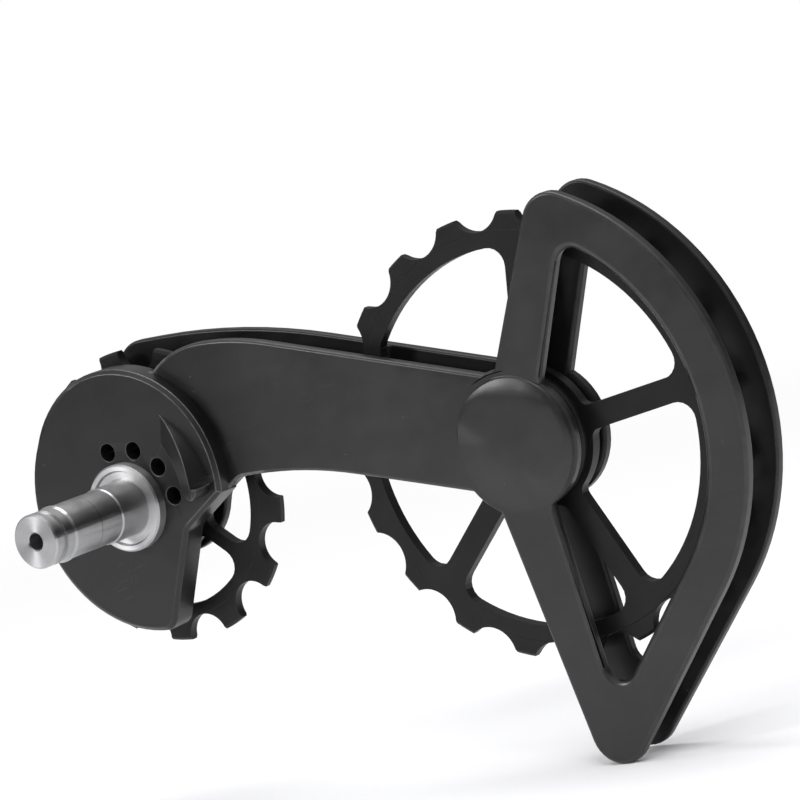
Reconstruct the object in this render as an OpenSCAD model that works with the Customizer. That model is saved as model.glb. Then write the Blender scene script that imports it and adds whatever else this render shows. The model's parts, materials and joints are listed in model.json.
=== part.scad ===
// Oversized rear derailleur pulley cage: two toothed pulley wheels on sealed ball bearings, carried
// between two moulded cage plates, with the turned pivot axle that hangs the cage from the derailleur.
// Millimetres. The pivot axle lies along Y and points to -Y, the tension wheel lies along +X, Z is up.
// The origin is on the axle, at the rim face of its flange bush.

/* [Chain and wheels] */
// Pitch of the chain
chain_pitch = 12.7; // [12.5:0.05:12.9]
// Diameter of a chain roller
roller_d = 7.7; // [7.4:0.05:7.9]
// Teeth of the guide wheel, on the pivot axle
guide_teeth = 13; // [12:1:14]
// Teeth of the tension wheel, in the fan
tension_teeth = 19; // [18:1:20]
// Distance between the two wheel axes
wheel_spacing = 80.5; // [76:0.5:90]
// Thickness of the teeth
tooth_t = 1.8; // [1.6:0.05:2.2]
// Thickness of the web, spokes and rim
web_t = 2; // [1.8:0.05:3]
// Bevel at the tooth tips, along the radius
tooth_bevel = 0.45; // [0.2:0.05:1]
// How much thinner the tooth tips are on each side
tooth_taper = 0.35; // [0.1:0.05:0.6]
// Number of spokes in each wheel
spokes = 5; // [4:1:6]
// Width of the flat left round a wheel's bearing boss, on the hub disc
boss_inset = 0.9; // [0.5:0.1:1.6]

/* [Guide wheel] */
// How far the tooth tips stay below the pitch circle
guide_tip_drop = 0.15; // [0:0.05:1.2]
// Extra depth of a pocket below the seated roller
guide_seat_gap = 0.4; // [0:0.05:0.6]
// Radius of a pocket
guide_pocket_r = 4.1; // [3.95:0.05:4.4]
// Width of the rim under the pockets
guide_rim_w = 2.1; // [1.5:0.1:2.6]
// Radius of the hub disc
guide_hub_r = 10.9; // [10.4:0.1:13]
// Width of a spoke
guide_spoke_w = 2.4; // [1.8:0.1:4]
// Angle of the first spoke
guide_spoke_angle = 32.3; // [0:0.1:72]
// Angle of the first tooth
guide_tooth_angle = -95.8; // [-180:0.1:180]

/* [Tension wheel] */
// How far the tooth tips stay below the pitch circle
tension_tip_drop = 0.95; // [0.6:0.05:2]
// Extra depth of a pocket below the seated roller
tension_seat_gap = 0; // [0:0.05:0.4]
// Radius of a pocket
tension_pocket_r = 5; // [4.5:0.05:5.4]
// Width of the rim under the pockets
tension_rim_w = 2.8; // [2.4:0.1:4]
// Radius of the hub disc
tension_hub_r = 12; // [11.6:0.1:14]
// Width of a spoke
tension_spoke_w = 4.15; // [3:0.05:6]
// Angle of the first spoke
tension_spoke_angle = 8.2; // [0:0.1:72]
// Angle of the first tooth
tension_tooth_angle = 82.2; // [-180:0.1:180]

/* [Bearings] */
// Bore of a bearing
bearing_bore_d = 6; // [5.8:0.05:6.4]
// Outside diameter of a bearing
bearing_od = 15; // [14.6:0.1:15.6]
// Width of a bearing
bearing_w = 5; // [4.4:0.1:5.2]
// Diameter of a ball
ball_d = 2.38; // [2.2:0.02:2.5]
// Balls in a bearing
balls = 8; // [7:1:9]
// Gap between a ball and its grooves
ball_clearance = 0.02; // [0.01:0.01:0.05]
// Wall of a race beside its groove
race_wall = 1.45; // [1.3:0.05:1.5]
// Thickness of a rubber seal
seal_t = 0.3; // [0.2:0.05:0.4]
// Running gap between a seal's lip and the inner race
seal_gap = 0.08; // [0.05:0.01:0.12]

/* [Cage plates] */
// Thickness of each plate
plate_t = 2; // [1.8:0.1:2.6]
// Gap between the plates, in which the chain runs
cage_gap = 7.2; // [6.8:0.1:8.4]
// Chamfer of the window's edges
window_edge = 0.4; // [0.2:0.05:0.6]
// How far the fan reaches past the tension wheel's tips
fan_reach = 5.45; // [4:0.05:8]
// How much further the rear fan reaches than the front one
rear_fan_extra = 0.4; // [0:0.05:1]
// Width of the fan's ring
fan_ring_w = 7.4; // [6:0.1:9]
// Angle at which the front ring ends and its straight guard starts
front_tangent_angle = -41.5; // [-55:0.5:-35]
// Angle at which the rear ring ends and its straight guard starts
rear_tangent_angle = -43; // [-55:0.5:-35]
// Radius of the fan's top corner
fan_top_r = 5.6; // [3:0.1:6]
// Radius of the fan's bottom corner
fan_tip_r = 5.3; // [3:0.1:6]
// Direction of the upper bar's outer edge
upper_bar_angle = 62.8; // [58:0.1:68]
// Distance of the upper bar's outer edge from the wheel axis
upper_bar_reach = 6.6; // [5.5:0.1:8]
// Direction of the upper bar's window edge
upper_window_angle = 66; // [62:0.1:70]
// Distance of the upper window edge from the wheel axis
upper_window_reach = 2.9; // [2:0.1:4]
// Direction of the lower bar's outer edge
lower_bar_angle = -79.5; // [-84:0.1:-75]
// Distance of the lower bar's outer edge from the wheel axis
lower_bar_reach = 7.95; // [6.5:0.1:9]
// Direction of the lower bar's window edge
lower_window_angle = -84.7; // [-88:0.1:-80]
// Distance of the lower window edge from the wheel axis
lower_window_reach = 3.15; // [2:0.05:4]
// Radius of the window's top corner
window_top_r = 3.1; // [1.5:0.1:4]
// Radius of the window's bottom corner
window_tip_r = 3; // [1.5:0.1:3.2]
// Radius of the plate left round the wheel axis
window_hub_r = 11.6; // [10.8:0.1:12.6]

/* [Arms] */
// Fall of the arm's top edge towards the fan
arm_top_fall = 15.4; // [12:0.1:18]
// Distance of the front arm's top edge from the wheel axis
front_top_reach = 10.7; // [9:0.1:11.4]
// Distance of the rear arm's top edge from the wheel axis
rear_top_reach = 11; // [9:0.1:11.4]
// Fall of the arm's bottom edge towards the fan
arm_bottom_fall = 14.3; // [11:0.1:17]
// Distance of the arm's bottom edge from the wheel axis
arm_bottom_reach = 9.25; // [8:0.05:10.5]
// Height of the front arm's crest above the pivot axis
front_crest_z = 25.7; // [24.5:0.1:27]
// Radius of the front arm's crest towards the fan
front_crest_r = 55; // [45:1:70]
// Radius of the front arm's shoulder towards the disc
front_shoulder_r = 19; // [17:0.5:22]
// Height of the rear arm's crest above the pivot axis
rear_crest_z = 27.2; // [26:0.1:28]
// Radius of the rear arm's crest
rear_crest_r = 136; // [120:1:150]
// Radius of the rear arm's end corner
rear_corner_r = 6; // [4:0.1:8]
// How far the rear arm's end corner reaches past the pivot axis
rear_corner_x = 6; // [5:0.1:9]
// Radius of the rear plate's end round the pivot axis
rear_end_r = 11.5; // [11:0.1:13.5]
// Height of the arch under the arms above the pivot axis
arch_z = 1.6; // [0.5:0.1:2.5]
// Radius of the arch
arch_r = 86; // [80:1:100]
// Radius where the arch turns down to the disc
arch_corner_r = 4; // [3:0.1:6]
// Radius where the rear arch turns down to the plate's end
rear_arch_corner_r = 8; // [5:0.1:9]

/* [Disc] */
// How far the disc stands in front of the arm's face
disc_rise = 3.25; // [2.5:0.05:4]
// Radius of the disc's upper part
disc_top_r = 20.5; // [20:0.05:21.5]
// Height of the upper part's centre above the axle
disc_top_z = 3.7; // [3:0.05:4.2]
// Radius of the disc's lower part
disc_low_r = 23.35; // [22.4:0.05:23.6]
// Place of the lower part's centre to the right of the axle
disc_low_x = 1.45; // [1.2:0.05:2.4]
// Height of the lower part's centre above the axle
disc_low_z = 0.55; // [0:0.05:0.8]
// Direction of the disc's straight cut, as its outward normal
cut_angle = -25.5; // [-32:0.1:-20]
// Distance of the straight cut from the axle
cut_reach = 12.4; // [11.5:0.1:14]
// Direction of the slope under the arm, as its outward normal
slope_angle = -58.7; // [-64:0.1:-54]
// Distance of the slope under the arm from the axle
slope_reach = 10.6; // [10:0.1:11.5]
// Radius of the disc's lowest corner
cut_tip_r = 3; // [2:0.1:4]
// Radius of the inner corner under the arm
cut_root_r = 2; // [1:0.1:3]
// Chamfer of the disc's front edge
disc_edge = 0.7; // [0.3:0.05:1]
// Setback of the disc's hidden face from the plate's inner face
disc_setback = 0.2; // [0.1:0.05:0.4]

/* [Stop ramp] */
// Outer radius of the stop ramp
ramp_r = 18.6; // [17.6:0.1:19.2]
// Width of the stop ramp
ramp_w = 4.6; // [3.6:0.1:5.6]
// Angle of its blunt end
ramp_start = -1; // [-8:1:4]
// Angle of its thin end
ramp_end = 56; // [48:1:60]
// Height of the crest at the blunt end
ramp_h = 4.2; // [3:0.1:4.8]
// Fall of the ramp's face from the crest to its inner edge, as an angle
ramp_tilt = 21; // [15:0.5:27]
// Fall of the ramp's face along the ramp, as an angle
ramp_fall = 5; // [2:0.5:8]

/* [Spring holes] */
// Radius of the circle that the spring holes lie on
spring_circle_r = 10.1; // [9.9:0.05:10.8]
// Diameter of a spring hole
spring_hole_d = 3.2; // [2.6:0.1:3.4]
// Depth of a spring hole
spring_hole_depth = 3.6; // [2.5:0.1:4]
// Angle of the first spring hole
spring_first_angle = 3.5; // [0:0.5:8]
// Angle between neighbouring spring holes
spring_step_angle = 33; // [28:1:35]

/* [Boss] */
// How far the boss stands in front of the arm's face
boss_rise = 0.85; // [0.5:0.05:1.5]
// How far the boss's face is domed
boss_dome = 0.15; // [0:0.05:0.4]
// Width of the rounded edge of the boss
boss_round_r = 1.5; // [0.8:0.1:2]
// Width of the step between the boss and the window
boss_step = 0.6; // [0.5:0.05:0.8]
// Radius of each plate round the wheel axis, between its arm and its lower bar
plate_hub_r = 12.6; // [12.2:0.1:13.5]
// Width of the sloped foot round the boss
boss_foot = 1.2; // [0.4:0.1:1.5]

/* [Pivot axle] */
// Diameter of the axle's seat, next to the bush
seat_d = 10; // [9.6:0.05:10.4]
// Length from the bush's rim face to the seat's shoulder
seat_len = 6.2; // [5:0.1:8]
// Diameter of the journal, in front of the seat
journal_d = 9.6; // [8.8:0.05:9.65]
// Length from the bush's rim face to the collar
journal_end = 18.4; // [16:0.1:20]
// Diameter of the collar
collar_d = 10; // [9.8:0.05:10.4]
// Width of the collar's rim
collar_w = 0.3; // [0.2:0.05:0.8]
// Length of the slope in front of the collar's rim
collar_slope = 0.5; // [0.3:0.05:0.8]
// Diameter of the head and the neck
head_d = 9.5; // [9:0.05:9.8]
// Length of the neck, between the groove and the collar's slope
neck_len = 1.95; // [1.5:0.05:2.4]
// Length from the bush's rim face to the axle's tip
axle_reach = 24.1; // [23.6:0.1:27]
// Width of the head
head_w = 1.5; // [1:0.1:2]
// Diameter of the groove behind the head
groove_d = 8.6; // [7.4:0.1:8.8]
// Diameter of the hole in the tip
tip_hole_d = 3; // [2.4:0.1:3.6]
// Depth of the hole in the tip
tip_hole_depth = 7; // [4:0.5:9]
// Chamfer of the hole in the tip
tip_hole_edge = 0.2; // [0.1:0.05:0.4]
// Diameter of the axle inside the bush
press_d = 10.6; // [10.45:0.05:11]
// Diameter of the flange on the axle's tail
tail_d = 14; // [13.4:0.1:15]
// Width of the flange on the axle's tail
tail_w = 1.2; // [0.8:0.1:1.4]
// Chamfer of the axle's edges
axle_edge = 0.3; // [0.15:0.05:0.4]

/* [Flange bush] */
// Diameter of the bush's flange
bush_flange_d = 15.6; // [14.8:0.1:16]
// Thickness of the bush's flange
bush_flange_t = 2; // [1.6:0.1:2.4]
// Diameter of the recess in the flange
bush_recess_d = 12.9; // [12:0.1:13.4]
// Depth of the recess in the flange
bush_recess = 0.55; // [0.3:0.05:0.8]
// Diameter of the bush's body in the disc
bush_body_d = 13; // [12:0.1:14]

/* [Wheel bolts] */
// Diameter of a bolt's shank
bolt_d = 5; // [4.9:0.05:5.1]
// Diameter of a bolt's head
bolt_head_d = 8.8; // [8:0.1:9.5]
// Height of a bolt's head
bolt_head_h = 2.2; // [1.8:0.1:2.6]
// Width across the flats of a bolt's socket
socket_w = 3; // [2.5:0.1:3.5]
// Depth of a bolt's socket
socket_depth = 1.5; // [1:0.1:1.7]
// Clearance round a bolt in its plate and sleeve
bolt_clearance = 0.05; // [0.02:0.01:0.1]
// Depth of the guide bolt's thread in the axle
axle_thread_depth = 9; // [7:0.5:11]
// Free length left past a bolt's end
thread_runout = 0.5; // [0.3:0.1:1]
// Diameter of the threaded insert in the boss
insert_d = 7.4; // [6.8:0.1:8]
// Wall left in front of the insert
insert_cover = 1; // [0.8:0.1:1.4]
// Diameter of a dust cap
cap_d = 14; // [13:0.1:15]
// Thickness of a dust cap's rim
cap_t = 0.5; // [0.3:0.05:0.7]
// Diameter of a dust cap's hub, on the inner race
cap_hub_d = 8; // [7.6:0.1:8.3]
// Sliding clearance of a dust cap on its sleeve
cap_clearance = 0.02; // [0.01:0.01:0.05]

/* [Hidden] */

$fn = 96;
// Small overlap of cutters past a face
e = 0.05;

// Planes across the cage, along Y
disc_y = bush_flange_t;
arm_y = disc_y + disc_rise;
inner_y = arm_y + plate_t;
mid_y = inner_y + cage_gap / 2;
rear_y = inner_y + cage_gap;
back_y = rear_y + plate_t;
boss_y = arm_y - boss_rise;

// Wheel radii
function pitch_r(teeth) = chain_pitch / 2 / sin(180 / teeth);
guide_root_r = pitch_r(guide_teeth) - roller_d / 2 - guide_seat_gap;
guide_tip_r = pitch_r(guide_teeth) - guide_tip_drop;
tension_root_r = pitch_r(tension_teeth) - roller_d / 2 - tension_seat_gap;
tension_tip_r = pitch_r(tension_teeth) - tension_tip_drop;

// Bearing radii
race_out_r = bearing_od / 2 - race_wall;
race_in_r = bearing_bore_d / 2 + race_wall;
ball_circle_r = (race_out_r + race_in_r) / 2;
groove_r = ball_d / 2 + ball_clearance;

// Fan radii
fan_r = tension_tip_r + fan_reach;
window_r = fan_r - fan_ring_w;
tension_axis = [wheel_spacing, 0];

// Length of each dust cap, from its plate to the bearing
cap_len = (cage_gap - bearing_w) / 2;

// Geometry of flat outlines: a line is its outward normal's angle and its distance from the centre
function dir(a) = [cos(a), sin(a)];
function angle_of(v) = atan2(v[1], v[0]);
function arc(c, r, a0, a1, n) = [for (i = [0:n]) c + r * dir(a0 + (a1 - a0) * i / n)];
function line_cross(a0, d0, a1, d1) =
    let (n0 = dir(a0), n1 = dir(a1), det = n0[0] * n1[1] - n0[1] * n1[0])
    [(d0 * n1[1] - d1 * n0[1]) / det, (n0[0] * d1 - n1[0] * d0) / det];
// Centre at distance d from a line through the centre c and at distance r from c, ahead or behind
function line_circle(a, d, c, r, side) =
    let (h = d - c * dir(a))
    c + h * dir(a) + side * sqrt(r * r - h * h) * dir(a + 90);
// Where two circles cross, on the left of the way from the first centre to the second
function circle_cross(c0, r0, c1, r1) =
    let (v = c1 - c0, l = norm(v), x = (l * l + r0 * r0 - r1 * r1) / 2 / l, a = angle_of(v))
    c0 + x * dir(a) + sqrt(r0 * r0 - x * x) * dir(a + 90);
function cleaned(p) =
    [for (i = [0:len(p) - 1]) if (norm(p[i] - p[(i + len(p) - 1) % len(p)]) > 0.02) p[i]];
// The same outline, every edge moved in by d
function inset(p, d) =
    let (n = len(p))
    [for (i = [0:n - 1])
        let (u = p[i] - p[(i + n - 1) % n], v = p[(i + 1) % n] - p[i],
             nu = [u[1], -u[0]] / norm(u), nv = [v[1], -v[0]] / norm(v))
        p[i] - d * (nu + nv) / (1 + nu * nv)];

// A slab of an outline given anticlockwise, from z = 0 to t, with chamfers e0 below and e1 above.
// A negative chamfer flares outwards, as a cutter's does.
module edged_slab(outline, t, e0, e1) {
    p = cleaned(outline);
    n = len(p);
    rings = concat(e0 == 0 ? [] : [[0, e0]], [[abs(e0), 0], [t - abs(e1), 0]], e1 == 0 ? [] : [[t, e1]]);
    last = len(rings) - 1;
    points = [for (r = rings) for (q = inset(p, r[1])) [q[0], q[1], r[0]]];
    sides = [for (k = [0:last - 1]) for (i = [0:n - 1])
        let (j = (i + 1) % n) [k * n + j, k * n + i, (k + 1) * n + i, (k + 1) * n + j]];
    floor_face = [for (i = [0:n - 1]) i];
    top_face = [for (i = [0:n - 1]) (last + 1) * n - 1 - i];
    polyhedron(points, concat([floor_face, top_face], sides), convexity = 6);
}

// Stands a shape drawn in X and Y up in X and Z, its base at y0 and its top towards -Y
module upright(y0) {
    translate([0, y0, 0])
        rotate([90, 0, 0])
            children();
}

// Turns a profile of [radius, y] points round an axis along Y
module turned(profile) {
    rotate([90, 0, 0])
        rotate_extrude()
            polygon([for (p = profile) [p[0], -p[1]]]);
}

// A plain cylinder along Y from y0 to y1
module rod(d, y0, y1) {
    translate([0, y1, 0])
        rotate([90, 0, 0])
            cylinder(d = d, h = y1 - y0);
}

module at_guide() {
    children();
}

module at_tension() {
    translate([tension_axis[0], 0, tension_axis[1]])
        children();
}

// Outline of the fan, round the tension axis, from the lower bar's root to the upper bar's root
function fan_outline(r, tangent_a) =
    let (top = line_circle(upper_bar_angle + 90, upper_bar_reach - fan_top_r, [0, 0], r - fan_top_r, -1),
         tip = line_cross(lower_bar_angle - 90, lower_bar_reach - fan_tip_r,
                          tangent_a, r - fan_tip_r))
    concat(arc(tip, fan_tip_r, lower_bar_angle - 90, tangent_a, 12),
           arc([0, 0], r, tangent_a, angle_of(top), 32),
           arc(top, fan_top_r, angle_of(top), upper_bar_angle + 90, 10));

// Outline of the fan's window, round the tension axis
function window_outline(tangent_a) =
    let (a_up = upper_window_angle + 90, a_low = lower_window_angle - 90,
         d_up = -upper_window_reach, d_low = -lower_window_reach,
         top = line_circle(a_up, d_up - window_top_r, [0, 0], window_r - window_top_r, -1),
         tip = line_cross(a_low, d_low - window_tip_r, tangent_a, window_r - window_tip_r),
         hub_top = angle_of(line_circle(a_up, d_up, [0, 0], window_hub_r, -1)),
         hub_low = angle_of(line_circle(a_low, d_low, [0, 0], window_hub_r, 1)))
    concat(arc(tip, window_tip_r, a_low, tangent_a, 10),
           arc([0, 0], window_r, tangent_a, angle_of(top), 28),
           arc(top, window_top_r, angle_of(top), a_up, 8),
           arc([0, 0], window_hub_r, hub_top, hub_low, 18));

// The fan's outline with the corners where the arm's two edges meet its bars
function fan_and_roots(reach, r, tangent_a) =
    let (low_root = line_cross(-90 - arm_bottom_fall, arm_bottom_reach, lower_bar_angle - 90, lower_bar_reach),
         top_root = line_cross(90 - arm_top_fall, reach, upper_bar_angle + 90, upper_bar_reach))
    [for (p = concat([low_root], fan_outline(r, tangent_a), [top_root])) p + tension_axis];

// The arm's crest, from the fan to its highest point: an arc of radius r that ends at height z
function crest(z, r, top_reach) =
    let (a = 90 - arm_top_fall,
         reach = tension_axis * dir(a) + top_reach,
         c = [(reach - r - sin(a) * (z - r)) / cos(a), z - r])
    arc(c, r, a, 90, 8);

// The arch under the arm, from its highest point to the fan
function arch() =
    let (a = -90 - arm_bottom_fall,
         reach = tension_axis * dir(a) + arm_bottom_reach,
         z = arch_z - arch_r,
         c = [(reach + arch_r - sin(a) * z) / cos(a), z])
    arc(c, arch_r, 90, 90 - arm_bottom_fall, 8);

// Centre of the corner where the arch turns down towards the disc, just inside the disc's slope
arm_inset = 0.25;
arch_corner = line_cross(slope_angle, slope_reach - arm_inset + arch_corner_r, 90, arch_z - arch_corner_r);

// Outline of the front arm and fan; its left end lies inside the disc
function front_outline() =
    let (top = crest(front_crest_z, front_crest_r, front_top_reach),
         peak = top[len(top) - 1],
         shoulder = arc([peak[0], peak[1] - front_shoulder_r], front_shoulder_r, 90, 128, 10),
          slope_end = line_cross(slope_angle, slope_reach - arm_inset, 0, disc_top_r - 5),
         inner_end = line_cross(slope_angle, slope_reach - 3, 0, 10))
    concat([inner_end, slope_end], arc(arch_corner, arch_corner_r, slope_angle + 180, 90, 4), arch(),
           fan_and_roots(front_top_reach, fan_r, front_tangent_angle), top, shoulder, [[4, 10]]);

// Outline of the rear plate
function rear_outline() =
    let (top = crest(rear_crest_z, rear_crest_r, rear_top_reach),
         corner = [rear_corner_r - rear_corner_x, rear_crest_z - rear_corner_r],
         a = angle_of(corner) + acos((rear_end_r - rear_corner_r) / norm(corner)),
         root = line_circle(90, arch_z - rear_arch_corner_r, [0, 0], rear_end_r + rear_arch_corner_r, -1))
    concat(arc(corner, rear_corner_r, 90, a, 8),
           arc([0, 0], rear_end_r, a, 360 + angle_of(root), 24),
           arc(root, rear_arch_corner_r, 180 + angle_of(root), 90, 8),
           arch(), fan_and_roots(rear_top_reach, fan_r + rear_fan_extra, rear_tangent_angle), top);

// The region below the arm and right of the disc, as a cutter's outline
function cut_outline() =
    let (low_c = [disc_low_x, disc_low_z],
         tip = line_circle(cut_angle, cut_reach - cut_tip_r, low_c, disc_low_r - cut_tip_r, -1),
         tip_a = angle_of(tip - low_c) + 10,
         root = line_cross(cut_angle, cut_reach + cut_root_r, slope_angle, slope_reach + cut_root_r))
    concat([line_cross(slope_angle, slope_reach, 0, 2 * disc_low_r)],
           arc(root, cut_root_r, slope_angle + 180, cut_angle + 180, 5),
           arc(tip, cut_tip_r, cut_angle, tip_a, 6),
           [tip + (cut_tip_r + 5) * dir(tip_a), [2 * disc_low_r, -1.5 * disc_low_r]]);

// A round disc from y0 to y1 with a chamfered front edge
module edged_disc(r, y0, y1, c) {
    turned([[0, y0], [r - c, y0], [r, y0 + c], [r, y1], [0, y1]]);
}

// The thick disc round the axle: two round discs, the lower one cut off straight below the arm
module disc() {
    back = inner_y - disc_setback;
    left = circle_cross([disc_low_x, disc_low_z], disc_low_r, [0, disc_top_z], disc_top_r);
    difference() {
        union() {
            translate([0, 0, disc_top_z])
                edged_disc(disc_top_r, disc_y, back, disc_edge);
            difference() {
                translate([disc_low_x, 0, disc_low_z])
                    edged_disc(disc_low_r, disc_y, back, disc_edge);
                // Above this slanted plane only the upper disc counts
                translate([left[0], 0, left[1] + 1])
                    rotate([0, 34, 0])
                        translate([-disc_low_r, disc_y - 1, 0])
                            cube([4 * disc_low_r, back - disc_y + 2, 2 * disc_low_r]);
            }
        }
        upright(back + 1)
            edged_slab(cut_outline(), back + 1 - disc_y + e, 0, -disc_edge - e);
    }
}

// The window through a plate whose base is at y0, its edges flared
module window_cut(y0, tangent_a) {
    at_tension()
        upright(y0 + e)
            edged_slab(window_outline(tangent_a), plate_t + 2 * e, -window_edge, -window_edge);
}

// The same window through whatever stands in front of the front plate
module window_front_cut() {
    at_tension()
        upright(arm_y + plate_t / 2)
            linear_extrude(plate_t / 2 + boss_rise + 1)
                polygon(cleaned(window_outline(front_tangent_angle)));
}

// The ramp on the disc that stops the cage's swing
module stop_ramp() {
    mid_r = ramp_r - ramp_w / 2;
    a0 = ramp_start + asin(ramp_w / 2 / mid_r);
    band = concat(arc([0, 0], ramp_r, a0, ramp_end, 20), arc([0, 0], ramp_r - ramp_w, ramp_end, a0, 20));
    difference() {
        upright(disc_y + 1)
            linear_extrude(ramp_h + 1) {
                polygon(band);
                translate(mid_r * dir(a0))
                    circle(d = ramp_w, $fn = 48);
            }
        // The face falls inwards from the crest, and along the ramp to nothing at its thin end
        translate([ramp_r, disc_y - ramp_h, 0])
            rotate([-ramp_fall, 0, -ramp_tilt])
                translate([-2 * ramp_r, -2 * ramp_r, -2 * ramp_r])
                    cube([4 * ramp_r, 2 * ramp_r, 4 * ramp_r]);
    }
}

// The round boss over the tension wheel's bolt: a slightly domed face, a rounded edge, a sloped foot
module boss() {
    r = window_hub_r - boss_step;
    round_h = 0.6 * boss_rise;
    face_r = r - boss_round_r;
    turned(concat([[0, inner_y - 0.5], [0, boss_y - boss_dome]],
                  [for (i = [0:6]) [face_r + boss_round_r * sin(15 * i), boss_y + round_h * (1 - cos(15 * i))]],
                  [[r + boss_foot, arm_y], [r + boss_foot, inner_y - 0.5]]));
}

module spring_holes() {
    for (i = [0:3])
        rotate([0, -spring_first_angle - i * spring_step_angle, 0])
            translate([spring_circle_r, 0, 0])
                rod(spring_hole_d, disc_y - 1, disc_y + spring_hole_depth);
}

module front_plate() {
    color("#26272a")
        difference() {
            union() {
                upright(inner_y)
                    linear_extrude(plate_t)
                        polygon(cleaned(front_outline()));
                disc();
                at_tension() {
                    boss();
                    rod(2 * plate_hub_r, arm_y, inner_y);
                }
                stop_ramp();
            }
            window_cut(inner_y, front_tangent_angle);
            window_front_cut();
            spring_holes();
            // Seats of the flange bush and the axle's tail
            rod(bush_body_d, disc_y - 1, inner_y - tail_w + e);
            rod(tail_d, inner_y - tail_w, inner_y + 1);
            // Seat of the threaded insert
            at_tension()
                rod(insert_d, boss_y + insert_cover, inner_y + 1);
        }
}

module rear_plate() {
    color("#222326")
        difference() {
            union() {
                upright(back_y)
                    linear_extrude(plate_t)
                        polygon(cleaned(rear_outline()));
                at_tension()
                    rod(2 * plate_hub_r, rear_y, back_y);
            }
            window_cut(back_y, rear_tangent_angle);
            rod(bolt_d + 2 * bolt_clearance, rear_y - 1, back_y + 1);
            at_tension()
                rod(bolt_d + 2 * bolt_clearance, rear_y - 1, back_y + 1);
        }
}

module pivot_axle() {
    head_r = head_d / 2;
    c = axle_edge;
    neck_y = -journal_end - collar_w - collar_slope;
    tail_y = inner_y;
    color("#b9bbbd")
        difference() {
            turned([[0, -axle_reach], [head_r - c, -axle_reach], [head_r, -axle_reach + c],
                    [head_r, -axle_reach + head_w], [groove_d / 2, -axle_reach + head_w],
                    [groove_d / 2, neck_y - neck_len], [head_r, neck_y - neck_len], [head_r, neck_y],
                    [collar_d / 2, neck_y + collar_slope], [collar_d / 2, -journal_end],
                    [journal_d / 2, -journal_end + (collar_d - journal_d) / 2],
                    [journal_d / 2, -seat_len - c / 2], [seat_d / 2, -seat_len + c / 2],
                    [seat_d / 2, bush_recess], [press_d / 2, bush_recess],
                    [press_d / 2, tail_y - tail_w], [tail_d / 2, tail_y - tail_w],
                    [tail_d / 2, tail_y], [0, tail_y]]);
            turned([[0, -axle_reach - 1], [tip_hole_d / 2 + tip_hole_edge + 1, -axle_reach - 1],
                    [tip_hole_d / 2, -axle_reach + tip_hole_edge],
                    [tip_hole_d / 2, -axle_reach + tip_hole_depth], [0, -axle_reach + tip_hole_depth]]);
            rod(bolt_d, tail_y - axle_thread_depth, tail_y + 1);
        }
}

module axle_flange_bush() {
    flange_r = bush_flange_d / 2;
    c = axle_edge;
    color("#c6c8ca")
        turned([[press_d / 2, bush_recess], [bush_recess_d / 2, bush_recess],
                [bush_recess_d / 2 + bush_recess / 2, 0], [flange_r - c, 0], [flange_r, c],
                [flange_r, bush_flange_t], [bush_body_d / 2, bush_flange_t],
                [bush_body_d / 2, inner_y - tail_w], [press_d / 2, inner_y - tail_w]]);
}

// The threaded insert of the tension bolt, knurled outside, pressed in from the inner face
module tension_insert() {
    color("#b08d46")
        at_tension()
            difference() {
                rod(insert_d, boss_y + insert_cover, inner_y);
                rod(bolt_d, boss_y + insert_cover - 1, inner_y + 1);
            }
}

// One of the windows between the spokes of a wheel, drawn round the wheel's centre
module spoke_window(hub_r, rim_r, spoke_w, a) {
    step = 360 / spokes;
    outer_round = min(3, (rim_r - hub_r) / 3);
    inner_round = min(1.6, (rim_r - hub_r) / 4);
    // The spoke at angle a bounds the window from below, and the next one from above
    function corner(spoke_a, side, round_r, r) =
        line_circle(spoke_a + 90, side * (spoke_w / 2 + round_r), [0, 0], r, -1);
    c0 = corner(a, 1, outer_round, rim_r - outer_round);
    c1 = corner(a + step, -1, outer_round, rim_r - outer_round);
    c2 = corner(a + step, -1, inner_round, hub_r + inner_round);
    c3 = corner(a, 1, inner_round, hub_r + inner_round);
    polygon(concat(arc(c0, outer_round, a - 90, angle_of(c0) + turns(a - 90, angle_of(c0)), 6),
                   arc([0, 0], rim_r, near(angle_of(c0), a), near(angle_of(c1), a + step), 16),
                   arc(c1, outer_round, near(angle_of(c1), a + step), a + step + 90, 6),
                   arc(c2, inner_round, a + step + 90, near(angle_of(c2), a + step) + 180, 4),
                   arc([0, 0], hub_r, near(angle_of(c2), a + step), near(angle_of(c3), a), 12),
                   arc(c3, inner_round, near(angle_of(c3), a) + 180, a + 270, 4)));
}

// The angle v turned by whole circles until it lies within half a circle of the angle a
function near(v, a) = v + 360 * round((a - v) / 360);
// Whole circles to add to the angle v so that it lies within a circle above the angle a
function turns(a, v) = 360 * ceil((a - v) / 360);

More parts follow.
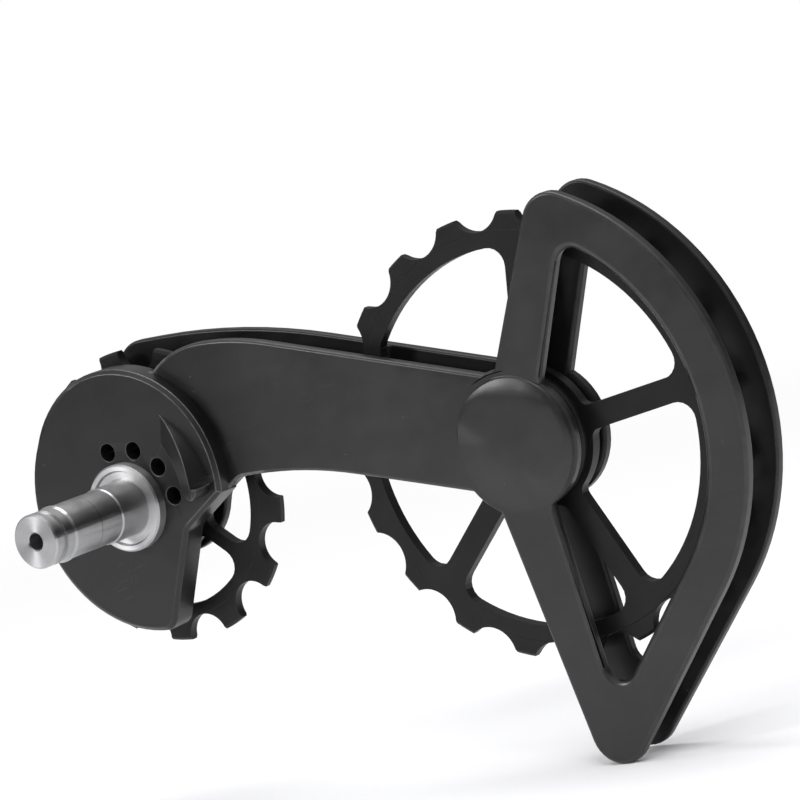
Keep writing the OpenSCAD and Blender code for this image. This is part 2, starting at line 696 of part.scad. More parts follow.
// A toothed wheel: turned blank, roller pockets and windows
module toothed_wheel(teeth, tooth_a, tip_r, root_r, pocket_r, hub_r, rim_w, spoke_w, spoke_a) {
    seat_r = bearing_od / 2;
    hub_h = bearing_w / 2;
    web_h = web_t / 2;
    tooth_h = tooth_t / 2;
    shoulder_r = root_r - (web_t - tooth_t) / 2;
    hub_boss_r = hub_r - boss_inset;
    translate([0, mid_y, 0])
        difference() {
            turned([[seat_r, -hub_h], [hub_boss_r - 0.4, -hub_h], [hub_boss_r, -hub_h + 0.4],
                    [hub_boss_r, -web_h], [shoulder_r, -web_h],
                    [root_r, -tooth_h], [tip_r - tooth_bevel, -tooth_h], [tip_r, -tooth_h + tooth_taper],
                    [tip_r, tooth_h - tooth_taper], [tip_r - tooth_bevel, tooth_h], [root_r, tooth_h],
                    [shoulder_r, web_h], [hub_boss_r, web_h],
                    [hub_boss_r, hub_h - 0.4], [hub_boss_r - 0.4, hub_h], [seat_r, hub_h]]);
            for (i = [0:teeth - 1])
                rotate([0, -tooth_a - (i + 0.5) * 360 / teeth, 0])
                    translate([root_r + pocket_r, 0, 0])
                        rod(2 * pocket_r, -web_t, web_t);
            upright(web_t)
                linear_extrude(2 * web_t)
                    for (i = [0:spokes - 1])
                        spoke_window(hub_r, root_r - rim_w, spoke_w, spoke_a + i * 360 / spokes);
        }
}

module guide_wheel() {
    color("#1f2022")
        at_guide()
            toothed_wheel(guide_teeth, guide_tooth_angle, guide_tip_r, guide_root_r, guide_pocket_r,
                          guide_hub_r, guide_rim_w, guide_spoke_w, guide_spoke_angle);
}

module tension_wheel() {
    color("#1f2022")
        at_tension()
            toothed_wheel(tension_teeth, tension_tooth_angle, tension_tip_r, tension_root_r,
                          tension_pocket_r, tension_hub_r, tension_rim_w, tension_spoke_w,
                          tension_spoke_angle);
}

// The ring of a ball groove, for cutting
module ball_groove() {
    rotate([90, 0, 0])
        rotate_extrude()
            translate([ball_circle_r, 0])
                circle(r = groove_r, $fn = 48);
}

module outer_race() {
    color("#a9abae")
        translate([0, mid_y, 0])
            difference() {
                turned([[race_out_r, -bearing_w / 2], [bearing_od / 2, -bearing_w / 2],
                        [bearing_od / 2, bearing_w / 2], [race_out_r, bearing_w / 2]]);
                ball_groove();
            }
}

module inner_race() {
    color("#a9abae")
        translate([0, mid_y, 0])
            difference() {
                turned([[bearing_bore_d / 2, -bearing_w / 2], [race_in_r, -bearing_w / 2],
                        [race_in_r, bearing_w / 2], [bearing_bore_d / 2, bearing_w / 2]]);
                ball_groove();
            }
}

module ball_set() {
    color("#d4d6d8")
        for (i = [0:balls - 1])
            translate([0, mid_y, 0])
                rotate([0, i * 360 / balls, 0])
                    translate([ball_circle_r, 0, 0])
                        sphere(d = ball_d, $fn = 48);
}

// The cage that spaces the balls, open at their pockets
module ball_cage() {
    half_w = ball_d * 0.62;
    wall = ball_d * 0.21;
    pocket_d = ball_d + 4 * ball_clearance;
    color("#8a6f3c")
        translate([0, mid_y, 0])
            difference() {
                turned([[ball_circle_r - wall, -half_w], [ball_circle_r + wall, -half_w],
                        [ball_circle_r + wall, half_w], [ball_circle_r - wall, half_w]]);
                for (i = [0:balls - 1])
                    rotate([0, i * 360 / balls, 0])
                        translate([ball_circle_r - 1, 0, 0])
                            rotate([0, 90, 0])
                                cylinder(d = pocket_d, h = 2);
            }
}

// The two rubber seals, held in the outer race
module seals() {
    outer_y = bearing_w / 2 - 0.1;
    color("#1a1a1c")
        translate([0, mid_y, 0])
            for (y = [-outer_y, outer_y - seal_t])
                turned([[race_in_r + seal_gap, y], [race_out_r, y],
                        [race_out_r, y + seal_t], [race_in_r + seal_gap, y + seal_t]]);
}

// The sleeve through the bearing, clamped between the plates
module sleeve() {
    color("#9fa1a4")
        difference() {
            rod(bearing_bore_d, inner_y, rear_y);
            rod(bolt_d + 2 * bolt_clearance, inner_y - 1, rear_y + 1);
        }
}

// A dust cap whose rim covers the bearing and whose hub bears on the inner race;
// y is the plate's face and side points from it to the bearing
module dust_cap(y, side) {
    bore_r = bearing_bore_d / 2 + cap_clearance;
    color("#2b2c2f")
        turned([for (p = [[bore_r, 0], [cap_d / 2, 0], [cap_d / 2, cap_t], [cap_hub_d / 2, cap_t],
                          [cap_hub_d / 2, cap_len], [bore_r, cap_len]])
                [p[0], y + side * p[1]]]);
}

// A wheel bolt from behind the rear plate, its tip at tip_y
module wheel_bolt(tip_y) {
    r = bolt_head_d / 2;
    color("#2a2b2d")
        difference() {
            turned([[0, tip_y], [bolt_d / 2 - 0.3, tip_y], [bolt_d / 2, tip_y + 0.3], [bolt_d / 2, back_y],
                    [r, back_y], [r, back_y + bolt_head_h * 0.45], [r * 0.86, back_y + bolt_head_h * 0.8],
                    [r * 0.66, back_y + bolt_head_h], [0, back_y + bolt_head_h]]);
            translate([0, back_y + bolt_head_h + 1, 0])
                rotate([90, 0, 0])
                    cylinder(d = socket_w / cos(30), h = socket_depth + 1, $fn = 6);
        }
}

front_plate();
rear_plate();
pivot_axle();
axle_flange_bush();
tension_insert();
guide_wheel();
at_guide() outer_race();  // guide_outer_race
at_guide() seals();  // guide_seals
at_guide() ball_set();  // guide_balls
at_guide() ball_cage();  // guide_ball_cage
at_guide() inner_race();  // guide_inner_race
at_guide() sleeve();  // guide_sleeve
at_guide() dust_cap(inner_y, 1);  // guide_front_cap
at_guide() dust_cap(rear_y, -1);  // guide_rear_cap
at_guide() wheel_bolt(inner_y - axle_thread_depth + thread_runout);  // guide_bolt
tension_wheel();
at_tension() outer_race();  // tension_outer_race
at_tension() seals();  // tension_seals
at_tension() ball_set();  // tension_balls
at_tension() ball_cage();  // tension_ball_cage
at_tension() inner_race();  // tension_inner_race
at_tension() sleeve();  // tension_sleeve
at_tension() dust_cap(inner_y, 1);  // tension_front_cap
at_tension() dust_cap(rear_y, -1);  // tension_rear_cap
at_tension() wheel_bolt(boss_y + insert_cover + thread_runout / 2);  // tension_bolt
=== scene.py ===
"""Looks of a derailleur pulley cage: rounded plates, finishes, floor, light and camera.

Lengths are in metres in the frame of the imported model: the pivot axle lies on the Y axis,
the tension wheel's axis crosses +X, and Z is up.
"""

import json
from math import atan2, cos, degrees, radians, sin

import bmesh
import bpy
from mathutils import Matrix, Vector


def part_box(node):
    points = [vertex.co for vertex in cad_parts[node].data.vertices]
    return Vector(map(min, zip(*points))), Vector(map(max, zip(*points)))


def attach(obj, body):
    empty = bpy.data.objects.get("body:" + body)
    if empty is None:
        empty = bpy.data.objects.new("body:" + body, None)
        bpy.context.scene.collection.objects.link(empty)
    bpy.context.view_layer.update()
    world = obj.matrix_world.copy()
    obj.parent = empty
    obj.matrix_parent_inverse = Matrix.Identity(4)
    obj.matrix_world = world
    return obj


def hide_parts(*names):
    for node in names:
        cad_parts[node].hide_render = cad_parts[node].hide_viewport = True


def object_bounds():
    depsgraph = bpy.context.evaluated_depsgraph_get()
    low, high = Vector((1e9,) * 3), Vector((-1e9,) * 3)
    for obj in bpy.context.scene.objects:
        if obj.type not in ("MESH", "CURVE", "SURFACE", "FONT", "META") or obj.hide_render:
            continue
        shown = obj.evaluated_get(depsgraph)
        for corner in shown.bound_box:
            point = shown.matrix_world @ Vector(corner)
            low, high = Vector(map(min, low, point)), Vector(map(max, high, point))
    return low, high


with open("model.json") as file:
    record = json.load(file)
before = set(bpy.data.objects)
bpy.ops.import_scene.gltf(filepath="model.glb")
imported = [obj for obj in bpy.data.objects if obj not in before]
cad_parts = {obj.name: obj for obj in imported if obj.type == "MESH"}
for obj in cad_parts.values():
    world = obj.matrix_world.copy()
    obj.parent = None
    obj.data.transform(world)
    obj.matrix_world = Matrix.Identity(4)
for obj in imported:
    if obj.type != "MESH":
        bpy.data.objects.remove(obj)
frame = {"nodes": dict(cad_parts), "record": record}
cad_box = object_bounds()

MM = 0.001

# The photograph's camera, fitted to the wheels, plates and axle. Angles are in degrees.
PHOTO_SIZE = 800
FOCAL_PX = 3890.265
CAMERA_PLACE = (0.441340, -0.510951, 0.071254)
AZIMUTH, ELEVATION, ROLL = 36.46969, 5.43249, -13.44948

SLOT_OF = {part["node"]: part["material_slot"] for part in frame["record"]["subparts"]}


def middle(node):
    low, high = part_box(node)
    return (low + high) / 2


GUIDE_AXIS = middle("guide_outer_race")
TENSION_AXIS = middle("tension_outer_race")


def smooth_step(t):
    t = min(1.0, max(0.0, t))
    return t * t * (3 - 2 * t)


def put_in_scene(name, data):
    made = bpy.data.objects.new(name, data)
    bpy.context.scene.collection.objects.link(made)
    return made


# Node trees and finishes


class Tree:
    """A node tree, built from short calls. A value may be a number, a tuple or a socket."""

    def __init__(self, tree):
        self.tree = tree

    def put(self, socket, value):
        if isinstance(value, bpy.types.NodeSocket):
            self.tree.links.new(value, socket)
        else:
            socket.default_value = value

    def node(self, kind, settings=None, **inputs):
        made = self.tree.nodes.new("ShaderNode" + kind)
        for name, value in (settings or {}).items():
            setattr(made, name, value)
        for name, value in inputs.items():
            self.put(made.inputs[name.replace("_", " ")], value)
        return made

    def math(self, operation, a, b=0.0, c=0.0):
        made = self.node("Math", {"operation": operation})
        for socket, value in zip(made.inputs, (a, b, c)):
            self.put(socket, value)
        return made.outputs[0]

    def weigh(self, *terms, start=0.0):
        """start plus each value times its weight."""
        total = start
        for value, weight in terms:
            total = self.math("MULTIPLY_ADD", value, weight, total)
        return total

    def band(self, value, low, high, to_low=0.0, to_high=1.0, interpolation="LINEAR"):
        """value from low..high to to_low..to_high, held at the ends."""
        return self.node("MapRange", {"clamp": True, "interpolation_type": interpolation},
                         Value=value, From_Min=low, From_Max=high,
                         To_Min=to_low, To_Max=to_high).outputs["Result"]

    def tint(self, factor, a, b):
        """Colour a where factor is 0 and colour b where it is 1."""
        made = self.node("Mix", {"data_type": "RGBA"}, Factor=factor)
        for socket, value in (("A", a), ("B", b)):
            self.put(made.inputs[socket], value if isinstance(value, bpy.types.NodeSocket)
                     else (*value, 1))
        return made.outputs["Result"]


class Finish(Tree):
    """A material's node tree."""

    def __init__(self, name):
        self.mat = bpy.data.materials.new(name)
        self.mat.use_nodes = True
        super().__init__(self.mat.node_tree)
        self.shader = self.tree.nodes["Principled BSDF"]

    def place(self, centre=(0, 0, 0), turn=(0, 0, 0), scale=(1, 1, 1)):
        """Object coordinates round a centre, turned by degrees and stretched."""
        coords = self.node("TexCoord").outputs["Object"]
        moved = self.node("Mapping", {"vector_type": "POINT"}, Vector=coords,
                          Location=tuple(-v for v in centre))
        turned = self.node("Mapping", {"vector_type": "POINT"}, Vector=moved.outputs[0],
                           Rotation=tuple(radians(v) for v in turn))
        return self.node("Mapping", {"vector_type": "POINT"}, Vector=turned.outputs[0],
                         Scale=scale).outputs[0]

    def noise(self, where, scale, detail, roughness=0.55):
        return self.node("TexNoise", Vector=where, Scale=scale, Detail=detail,
                         Roughness=roughness).outputs["Fac"]

    def scratches(self, turn, length, width, rarity):
        """Thin straight marks, as a mask: length and width of one mark in metres."""
        stretch = (1 / length, 1 / length, 1 / width)
        lines = self.noise(self.place(turn=(0, turn, 0), scale=stretch), scale=1.0, detail=1)
        patch = self.noise(self.place(), scale=70 + turn, detail=1)
        return self.math("MULTIPLY", self.band(lines, 0.70, 0.76),
                         self.band(patch, rarity, rarity + 0.1))

    def turning(self, centre, pitch):
        """Fine rings round an axis along Y through a centre, on cylinders and on faces."""
        where = self.node("SeparateXYZ", Vector=self.place(centre))
        square = self.math("ADD", self.math("POWER", where.outputs["X"], 2),
                           self.math("POWER", where.outputs["Z"], 2))
        rings = self.node("CombineXYZ", X=self.math("SQRT", square), Y=where.outputs["Y"])
        return self.noise(rings.outputs[0], scale=1 / pitch, detail=4, roughness=0.7)

    def bump(self, height, depth):
        made = self.node("Bump", Strength=1.0, Distance=depth, Height=height)
        self.put(self.shader.inputs["Normal"], made.outputs["Normal"])

    def done(self, colour, roughness, metallic=0.0, **more):
        self.put(self.shader.inputs["Base Color"],
                 colour if isinstance(colour, bpy.types.NodeSocket) else (*colour, 1))
        self.put(self.shader.inputs["Roughness"], roughness)
        self.put(self.shader.inputs["Metallic"], metallic)
        for name, value in more.items():
            self.put(self.shader.inputs[name.replace("_", " ")], value)
        return self.mat


def grey(level):
    """A grey with a faint cool cast."""
    return (level, level, level * 1.01)


def cage_plastic(name, dark, light, gloss):
    """Moulded satin plastic: soft mottling, flow lines, faint scratches and a painted highlight
    on rounded edges.

    It is a little darker round the pivot axle, which is painted shade. A face attribute marks the
    roundings that get the painted highlight.
    """
    f = Finish(name)
    mottle = f.noise(f.place(), scale=240, detail=5, roughness=0.6)
    cloud = f.noise(f.place(scale=(1, 2, 1)), scale=60, detail=3, roughness=0.5)
    flow = f.noise(f.place(turn=(0, 8, 0), scale=(35, 300, 260)), scale=1.0, detail=3)
    grain = f.noise(f.place(), scale=2600, detail=2)
    marks = f.math("MAXIMUM",
                   f.scratches(turn=12, length=5 * MM, width=0.10 * MM, rarity=0.60),
                   f.scratches(turn=67, length=3 * MM, width=0.08 * MM, rarity=0.64))

    # a few small light specks: the middles of some Voronoi cells
    dust = f.node("TexVoronoi", Vector=f.place(), Scale=520.0)
    chosen = f.node("SeparateColor", Color=dust.outputs["Color"]).outputs[0]
    specks = f.math("MULTIPLY", f.band(dust.outputs["Distance"], 0.05, 0.09, 1, 0),
                    f.band(chosen, 0.955, 0.965))

    tone = f.weigh((cloud, 0.40), (flow, 0.25), (mottle, 0.35))
    base = f.tint(f.band(tone, 0.38, 0.62), grey(dark), grey(light))
    # painted shade: the plastic is darker left of the arm, round the pivot axle
    along = f.node("SeparateXYZ", Vector=f.place()).outputs["X"]
    base = f.tint(f.band(along, 20 * MM, 30 * MM, 0.6, 0), base, grey(0.003))
    base = f.tint(f.math("MULTIPLY", marks, 0.22), base, grey(0.09))
    base = f.tint(f.math("MULTIPLY", specks, 0.35), base, grey(0.2))

    attribute = {"attribute_type": "GEOMETRY", "attribute_name": "worn"}
    worn = f.node("Attribute", attribute).outputs["Fac"]
    # painted highlight: the rounded edges are lightened towards grey 0.11, in patches
    patchy = f.band(f.noise(f.place(), scale=420, detail=4, roughness=0.6), 0.35, 0.6, 0.35, 1.0)
    base = f.tint(f.math("MULTIPLY", worn, patchy), base, grey(0.11))

    rough = f.weigh((marks, -0.06), (worn, -0.08), start=f.band(tone, 0.35, 0.65, 0.30, 0.40))
    f.bump(f.weigh((grain, 0.35), (mottle, 0.6), (marks, -0.6)), 0.02 * MM)
    return f.done(base, rough, Specular_IOR_Level=gloss)


def anodised(name, centre, dark, light, rough):
    """Black anodised aluminium with faint turning rings."""
    f = Finish(name)
    rings = f.turning(centre, 0.12 * MM)
    cloud = f.noise(f.place(), scale=180, detail=4)
    grain = f.noise(f.place(), scale=3500, detail=2)
    marks = f.scratches(turn=34, length=3 * MM, width=0.08 * MM, rarity=0.62)
    base = f.tint(f.band(cloud, 0.35, 0.65), grey(dark), grey(light))
    base = f.tint(f.math("MULTIPLY", marks, 0.35), base, grey(0.05))
    f.bump(f.weigh((grain, 0.5), (rings, 0.5)), 0.008 * MM)
    return f.done(base, f.weigh((rings, 0.12), start=rough), Specular_IOR_Level=0.3)


def turned_metal(name, centre, side, face, rough, pitch=0.09 * MM, depth=0.006 * MM, line_y=None):
    """Turned metal: fine lathe rings, slight stains, hairline scratches, and end faces painted
    lighter, a painted highlight.

    side and face are the greys of turned surfaces and of faces across the axis. line_y is
    the place of a scribed line round the turned surface, if it has one.
    """
    f = Finish(name)
    rings = f.turning(centre, pitch)
    stain = f.noise(f.place(), scale=320, detail=5, roughness=0.65)
    marks = f.scratches(turn=78, length=5 * MM, width=0.06 * MM, rarity=0.66)
    tone = f.weigh((stain, 0.3), (rings, 0.7))
    normal = f.node("SeparateXYZ", Vector=f.node("TexCoord").outputs["Normal"])
    # painted highlight: faces across the axis get the lighter face grey, turned sides the darker
    # side grey
    is_face = f.band(f.math("ABSOLUTE", normal.outputs["Y"]), 0.85, 0.97)
    base = f.tint(is_face, grey(side), grey(face))
    base = f.tint(f.band(tone, 0.36, 0.64, 0.16, 0), base, grey(0.02))
    roughness = f.weigh((rings, 0.06), (f.band(stain, 0.4, 0.7), 0.06), (is_face, 0.10),
                        start=rough)
    height = f.weigh((marks, -0.2), start=rings)
    if line_y is not None:
        along = f.node("SeparateXYZ", Vector=f.place()).outputs["Y"]
        off = f.math("ABSOLUTE", f.math("SUBTRACT", along, line_y))
        line = f.band(off, 0.05 * MM, 0.11 * MM, 1, 0)
        base = f.tint(f.math("MULTIPLY", line, 0.55), base, grey(0.02))
        height = f.weigh((line, -2.0), start=height)
    f.bump(height, depth)
    round_y = f.node("Tangent", {"direction_type": "RADIAL", "axis": "Y"}).outputs[0]
    f.put(f.shader.inputs["Tangent"], round_y)
    return f.done(base, roughness, metallic=1.0, Anisotropic=0.8, Anisotropic_Rotation=0.25)


def turned_brass(name, centre):
    """Yellow turned metal with fine rings."""
    f = Finish(name)
    rings = f.turning(centre, 0.09 * MM)
    base = f.tint(f.band(rings, 0.38, 0.62), (0.55, 0.36, 0.12), (0.75, 0.52, 0.22))
    f.bump(rings, 0.006 * MM)
    return f.done(base, f.weigh((rings, 0.08), start=0.3), metallic=1.0)


def rubber(name):
    """Black rubber with a fine grain."""
    f = Finish(name)
    grain = f.noise(f.place(), scale=1800, detail=3)
    base = f.tint(f.band(grain, 0.35, 0.65), grey(0.012), grey(0.020))
    f.bump(grain, 0.01 * MM)
    return f.done(base, f.band(grain, 0.3, 0.7, 0.6, 0.75))


def floor_white():
    """Pale matte floor.

    Away from the object it turns to plain white for the camera, and reflections see a
    darker studio floor there.
    """
    f = Finish("floor")
    here = f.node("TexCoord").outputs["Object"]
    away = f.node("VectorMath", {"operation": "LENGTH"}, Vector=here).outputs["Value"]
    path = f.node("LightPath")
    seen = f.math("MULTIPLY", f.band(away, 0.10, 0.55), path.outputs["Is Camera Ray"])
    dim = f.math("MULTIPLY", f.band(away, 0.45, 1.3), path.outputs["Is Glossy Ray"])
    f.done(f.tint(dim, grey(0.93), grey(0.10)), 0.9, Specular_IOR_Level=0.1)
    glow = f.node("Emission", Color=(1, 1, 1, 1), Strength=1.0)
    mixed = f.node("MixShader", Fac=seen)
    f.put(mixed.inputs[1], f.shader.outputs[0])
    f.put(mixed.inputs[2], glow.outputs[0])
    f.put(f.tree.nodes["Material Output"].inputs["Surface"], mixed.outputs[0])
    return f.mat


def make_materials():
    """Finishes by node, by slot and side, or by slot."""
    made = {
        "front_plate": cage_plastic("cage_plastic", dark=0.009, light=0.018, gloss=0.50),
        # the rear plate: the same plastic painted darker as painted shade, and less glossy
        "rear_plate": cage_plastic("cage_plastic_rear", dark=0.007, light=0.011, gloss=0.32),
        "pivot_axle": turned_metal("turned_steel", GUIDE_AXIS, side=0.46, face=0.56, rough=0.27,
                                   line_y=-11.8 * MM),
        "axle_flange_bush": turned_metal("turned_steel_bush", GUIDE_AXIS,
                                         side=0.45, face=0.72, rough=0.34),
        "seal_rubber": rubber("seal_rubber"),
        "brass": turned_brass("brass", TENSION_AXIS),
    }
    for side, centre in (("_guide", GUIDE_AXIS), ("_tension", TENSION_AXIS)):
        for slot, finish, values in (
            ("anodised_wheel", anodised, {"dark": 0.003, "light": 0.006, "rough": 0.38}),
            ("anodised_cap", anodised, {"dark": 0.006, "light": 0.011, "rough": 0.34}),
            ("bearing_steel", turned_metal, {"side": 0.55, "face": 0.66, "rough": 0.14,
                                             "pitch": 0.05 * MM, "depth": 0.002 * MM}),
            ("black_steel", turned_metal, {"side": 0.04, "face": 0.05, "rough": 0.30}),
        ):
            made[slot + side] = finish(slot + side, centre, **values)
    return made


def finish_nodes(materials):
    """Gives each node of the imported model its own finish, or that of its slot and side."""
    for name, obj in frame["nodes"].items():
        slot = SLOT_OF[name]
        side = "_tension" if name.startswith("tension") else "_guide"
        finish = materials.get(name) or materials.get(slot + side) or materials[slot]
        obj.data.materials.clear()
        obj.data.materials.append(finish)


# Camera, light and floor


def place_camera():
    """The photograph's view: its position, direction, roll and focal length."""
    azimuth, elevation, roll = radians(AZIMUTH), radians(ELEVATION), radians(ROLL)
    data = bpy.data.cameras.new("camera")
    data.sensor_width = 36
    data.lens = data.sensor_width * FOCAL_PX / PHOTO_SIZE
    data.clip_start = 0.05
    camera = put_in_scene("camera", data)
    back = Vector((sin(azimuth) * cos(elevation), -cos(azimuth) * cos(elevation),
                   sin(elevation)))
    right = Vector((cos(azimuth), sin(azimuth), 0))
    up = back.cross(right)
    x = right * cos(roll) + up * sin(roll)
    y = up * cos(roll) - right * sin(roll)
    turn = Matrix((x, y, back)).transposed().to_4x4()
    camera.matrix_world = Matrix.Translation(CAMERA_PLACE) @ turn
    bpy.context.scene.camera = camera


def soft_box(name, place, aim, size, watts):
    """A rectangular lamp that points at a place."""
    data = bpy.data.lights.new(name, "AREA")
    data.shape = "RECTANGLE"
    data.size, data.size_y = size
    data.energy = watts
    lamp = put_in_scene(name, data)
    lamp.location = place
    lamp.rotation_euler = (Vector(aim) - Vector(place)).to_track_quat("-Z", "Y").to_euler()
    return lamp


def light_studio():
    """Soft lamps, and a world that is white to the camera and plain grey to matt surfaces.

    Reflections show a studio: pale above, a grey card high on the left, and dark at the
    horizon.
    """
    soft_box("lamp_top", place=(0.05, 0.05, 0.70), aim=(0.04, 0, 0), size=(0.6, 0.35), watts=2.6)
    key = soft_box("lamp_key", place=(0.50, -0.45, 0.60), aim=(0.04, 0, 0), size=(0.35, 0.35),
                   watts=2.0)
    key.visible_glossy = False
    soft_box("lamp_left", place=(-0.42, -0.60, 0.34), aim=(0.08, 0, 0), size=(0.15, 0.15),
             watts=2.0)

    world = bpy.data.worlds.new("studio")
    bpy.context.scene.world = world
    world.use_nodes = True
    sky = Tree(world.node_tree)
    white, matt_grey = (1, 1, 1), (0.60, 0.60, 0.61)
    horizon, overhead, card = (0.13, 0.13, 0.13), (0.8, 0.8, 0.8), (0.60, 0.60, 0.60)
    card_direction = (-0.74, 0.18, 0.65)

    toward = sky.node("TexCoord").outputs["Generated"]
    height = sky.node("SeparateXYZ", Vector=toward).outputs["Z"]
    facing = sky.node("VectorMath", {"operation": "DOT_PRODUCT"}, Vector=toward)
    facing.inputs[1].default_value = card_direction
    room = sky.tint(sky.band(height, 0.25, 0.9, interpolation="SMOOTHSTEP"), horizon, overhead)
    room = sky.tint(sky.band(facing.outputs["Value"], 0.72, 0.80, interpolation="SMOOTHSTEP"),
                    room, card)
    path = sky.node("LightPath")
    colour = sky.tint(path.outputs["Is Glossy Ray"], matt_grey, room)
    colour = sky.tint(path.outputs["Is Camera Ray"], colour, white)
    sky.put(sky.tree.nodes["Background"].inputs["Color"], colour)


def lay_floor():
    """A pale floor that sweeps up into a backdrop on every side."""
    low, high = cad_box
    flat_r, sweep_r, steps, around = 1.6, 0.8, 16, 96
    profile = [(flat_r * k / 4, 0) for k in range(1, 5)]
    profile += [(flat_r + sweep_r * sin(a), sweep_r * (1 - cos(a)))
                for a in (radians(90) * k / steps for k in range(1, steps + 1))]
    spokes = [(cos(radians(360 * k / around)), sin(radians(360 * k / around)))
              for k in range(around)]
    mesh = bmesh.new()
    hub = mesh.verts.new((0, 0, 0))
    rings = [[mesh.verts.new((r * x, r * y, z)) for x, y in spokes] for r, z in profile]
    for k in range(around):
        n = (k + 1) % around
        mesh.faces.new((hub, rings[0][k], rings[0][n]))
        for inner, outer in zip(rings, rings[1:]):
            mesh.faces.new((inner[k], outer[k], outer[n], inner[n]))
    data = bpy.data.meshes.new("floor")
    mesh.to_mesh(data)
    mesh.free()
    data.shade_smooth()
    floor = put_in_scene("floor", data)
    floor.location = ((low.x + high.x) / 2, (low.y + high.y) / 2, low.z)
    data.materials.append(floor_white())


# The front plate's boss and stop ramp

# Shape of the boss by direction round the tension axis, in degrees and millimetres: where its
# edge starts to fall, how far it falls softly, and how much it blends into the plate.
BOSS_SHAPE = (
    (0, 9.9, 0.30, 0.0), (30, 9.8, 0.32, 0.0), (55, 8.2, 0.52, 0.0), (75, 7.2, 0.62, 0.0),
    (98, 7.4, 0.58, 0.0), (115, 9.2, 0.30, 0.0), (130, 10.2, 0.12, 0.0), (148, 9.8, 0.15, 0.1),
    (172, 4.0, 0.85, 1.0), (225, 3.0, 0.85, 1.0), (280, 4.0, 0.85, 1.0), (305, 7.0, 0.65, 0.5),
    (330, 9.2, 0.40, 0.1), (360, 9.9, 0.30, 0.0),
)
# Radii of the boss's rings of points, in millimetres, closest together at its edge.
BOSS_RINGS = (2, 4, 5, 6, 6.8, 7.5, 8.1, 8.6, 9.1, 9.5, 9.9, 10.2, 10.5, 10.75, 10.95,
              11.05, 11.12, 11.2, 11.3, 11.45)
# Sizes of the boss and the plate under it, in millimetres.
BOSS_Y, BOSS_DOME, BOSS_EDGE_R, BOSS_STEP, PLATE_Y = 4.4, 0.15, 11.05, 0.25, 5.25


def boss_shape(angle):
    """The row of BOSS_SHAPE at an angle, blended between its neighbours."""
    for low, high in zip(BOSS_SHAPE, BOSS_SHAPE[1:]):
        if angle <= high[0]:
            t = smooth_step((angle - low[0]) / (high[0] - low[0]))
            return [a + (b - a) * t for a, b in zip(low[1:], high[1:])]
    return BOSS_SHAPE[-1][1:]


def boss_height(r, angle, rim_r, rim_y):
    """Y of the boss's face, in millimetres: a low dome with an edge that changes round it.

    rim_r and rim_y say where the face meets the plate in that direction.
    """
    start, soft, blend = boss_shape(angle)
    reach = BOSS_EDGE_R + (rim_r - BOSS_EDGE_R) * blend - start
    u = min(1.0, max(0.0, (r - start) / reach))
    foot_r = BOSS_EDGE_R + BOSS_STEP
    dome = BOSS_DOME * max(0.0, 1 - (r / BOSS_EDGE_R) ** 2)
    fall = soft * ((1 - blend) * u * u + blend * smooth_step(u))
    crisp = (PLATE_Y - BOSS_Y - soft) * smooth_step((r - BOSS_EDGE_R) / BOSS_STEP)
    foot = (rim_y - PLATE_Y) * smooth_step((r - foot_r) / (rim_r - foot_r))
    return BOSS_Y - dome + fall + crisp + foot


def soften_boss(mesh):
    """Gives the boss its soft edge: crisp at the top left and right, flowing into the bars."""
    def polar(v):
        x, z = v.co.x - TENSION_AXIS.x, v.co.z - TENSION_AXIS.z
        return (x * x + z * z) ** 0.5 / MM, degrees(atan2(z, x)) % 360

    in_front, reach = (PLATE_Y - 0.01) * MM, 14.5
    bmesh.ops.delete(mesh, context="VERTS",
                     geom=[v for v in mesh.verts if v.co.y < in_front and polar(v)[0] < reach])
    rim = sorted({v for e in mesh.edges if e.is_boundary for v in e.verts},
                 key=lambda v: polar(v)[1])
    columns = []
    for v in rim:
        rim_r, angle = polar(v)
        out = Vector((cos(radians(angle)), 0, sin(radians(angle))))
        column = [mesh.verts.new(TENSION_AXIS + out * r * MM) for r in BOSS_RINGS]
        for made, r in zip(column, BOSS_RINGS):
            made.co.y = boss_height(r, angle, rim_r, v.co.y / MM) * MM
        columns.append(column + [v])
    hub = mesh.verts.new((TENSION_AXIS.x, (BOSS_Y - BOSS_DOME) * MM, TENSION_AXIS.z))
    for here, there in zip(columns, columns[1:] + columns[:1]):
        mesh.faces.new((hub, here[0], there[0]))
        for k in range(len(here) - 1):
            mesh.faces.new((here[k], here[k + 1], there[k + 1], there[k]))
    bmesh.ops.recalc_face_normals(mesh, faces=mesh.faces)


def slope_ramp(mesh):
    """Leans the stop ramp's outer wall inwards, most where the ramp is highest."""
    disc_y, ramp_r, slack, lean = 2.0 * MM, 18.6 * MM, 0.05 * MM, 0.35
    for v in mesh.verts:
        r = v.co.xz.length
        if v.co.y < disc_y - slack and abs(r - ramp_r) < slack:
            k = (r - lean * (disc_y - v.co.y)) / r
            v.co.x *= k
            v.co.z *= k


# Rounded edges

WELD = 0.002 * MM       # points closer than this are one
FLAT_TURN = 0.4         # faces that turn less than this many degrees are one
EDGE_TURN = 35          # outer edges that turn more than this many degrees are rounded
SHADE_TURN = 25         # edges that turn more than this many degrees look sharp
WIDEST = 1 * MM         # the widest rounding
SEGMENTS = 4            # faces across a rounding


def edge_turn(edge):
    """How far the surface turns over an outer edge, in degrees; 0 on an inner edge."""
    if len(edge.link_faces) != 2 or not edge.is_convex:
        return 0.0
    return degrees(edge.calc_face_angle(0.0))


def near(edge, y):
    return all(abs(v.co.y - y) < 0.03 * MM for v in edge.verts)


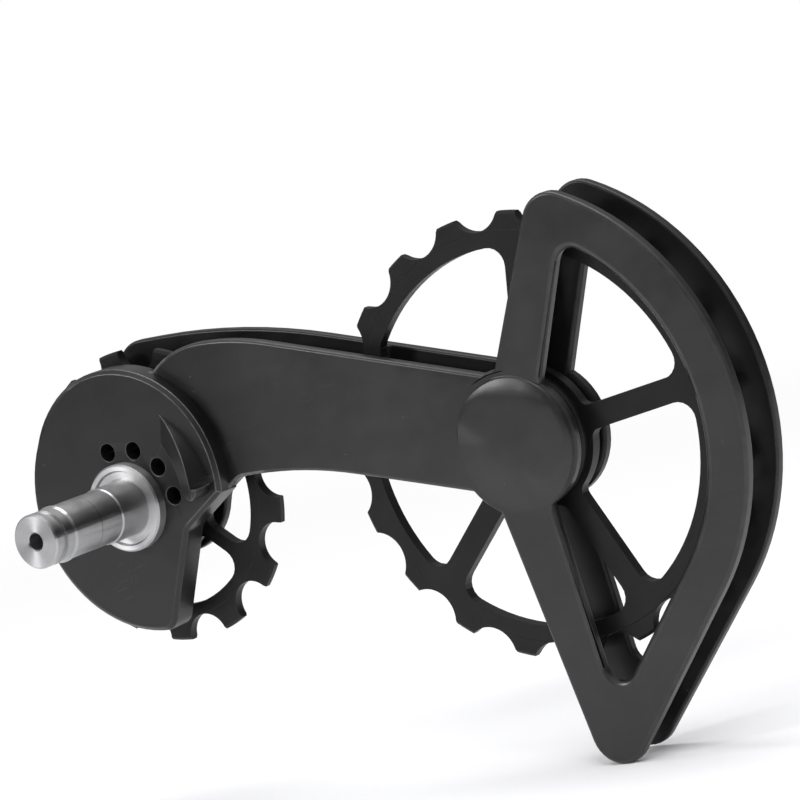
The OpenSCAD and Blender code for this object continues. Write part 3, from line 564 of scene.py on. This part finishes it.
def rounded(node, body, radius_of, painted_highlight_of, reshape=None):
    """A copy of a node, reshaped and with its outer edges rounded, which stands for the node.

    radius_of(edge) gives the rounding's radius, or 0 to leave the edge as it is, and the
    second function, given a place, how strongly a painted highlight lightens the rounding there,
    from 0 to 1.
    """
    source = frame["nodes"][node]
    finish = source.data.materials[0]
    mesh = bmesh.new()
    mesh.from_mesh(source.data)
    bmesh.ops.remove_doubles(mesh, verts=mesh.verts, dist=WELD)
    bmesh.ops.dissolve_degenerate(mesh, edges=mesh.edges, dist=WELD)
    bmesh.ops.dissolve_limit(mesh, angle_limit=radians(FLAT_TURN), use_dissolve_boundaries=False,
                             verts=mesh.verts, edges=mesh.edges)
    bmesh.ops.triangulate(mesh, faces=[f for f in mesh.faces if len(f.verts) > 4])
    if reshape:
        reshape(mesh)
    weight = mesh.edges.layers.float.new("bevel_weight_edge")
    for edge in mesh.edges:
        if edge_turn(edge) > EDGE_TURN:
            edge[weight] = min(1.0, radius_of(edge) / WIDEST)
    data = bpy.data.meshes.new(node + "_rounded")
    mesh.to_mesh(data)
    mesh.free()
    copy = put_in_scene(node + "_rounded", data)

    # the rounding's faces get the second material slot, by which they are found afterwards
    for _ in range(2):
        data.materials.append(finish)
    bevel = copy.modifiers.new("round", "BEVEL")
    bevel.limit_method = "WEIGHT"
    bevel.width = WIDEST
    bevel.segments = SEGMENTS
    bevel.use_clamp_overlap = False
    bevel.loop_slide = False
    bevel.miter_outer = "MITER_SHARP"
    bevel.material = 1
    with bpy.context.temp_override(object=copy, active_object=copy, selected_objects=[copy]):
        bpy.ops.object.modifier_apply(modifier=bevel.name)
    # the roundings' faces store how strongly the painted highlight lightens them
    worn = copy.data.attributes.new("worn", "FLOAT", "FACE")
    for face in copy.data.polygons:
        if face.material_index == 1:
            worn.data[face.index].value = painted_highlight_of(face.center)
            face.material_index = 0
    copy.data.materials.clear()
    copy.data.materials.append(finish)

    copy.data.shade_smooth()
    copy.data.set_sharp_from_angle(angle=radians(SHADE_TURN))
    weighted = copy.modifiers.new("normals", "WEIGHTED_NORMAL")
    weighted.keep_sharp = True
    weighted.weight = 80
    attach(copy, body)
    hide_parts(node)


def round_plates():
    """Rounds the plates' outer edges: the arm's most, and the disc's most on its left."""
    disc_r = 27.5 * MM
    boss_r = 11.5 * MM
    # where the boss's rim meets the lower bar
    corner_a, corner_r, corner_w = radians(289.5), 12 * MM, 1.2 * MM
    corner = TENSION_AXIS + Vector((cos(corner_a), 0, sin(corner_a))) * corner_r

    def front_shape(mesh):
        slope_ramp(mesh)
        soften_boss(mesh)

    def front_radius(edge):
        place = (edge.verts[0].co + edge.verts[1].co) / 2
        if (place - TENSION_AXIS).xz.length < boss_r or (place - corner).xz.length < corner_w:
            return 0
        if near(edge, PLATE_Y * MM):
            return 0.6 * MM
        if place.xz.length > disc_r:
            return 0.25 * MM
        left = smooth_step((-4 - place.x / MM) / 10)
        return (0.12 + 0.3 * left) * MM

    # painted highlight: strong on the disc's upper right roundings, faint elsewhere
    def front_painted_highlight(place):
        on_disc = place.xz.length <= disc_r
        return 0.8 if on_disc and place.x > -8 * MM and place.z > -4 * MM else 0.15

    inner_y, outer_y = (end.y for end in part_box("rear_plate"))

    def rear_radius(edge):
        return 0.5 * MM if near(edge, inner_y) or near(edge, outer_y) else 0.2 * MM

    # a faint painted highlight on every rounding of the rear plate
    def rear_painted_highlight(place):
        return 0.1

    rounded("front_plate", "cage", front_radius, front_painted_highlight, front_shape)
    rounded("rear_plate", "cage", rear_radius, rear_painted_highlight)


place_camera()
light_studio()
lay_floor()
finish_nodes(make_materials())
round_plates()
bpy.context.scene.view_settings.view_transform = "Standard"
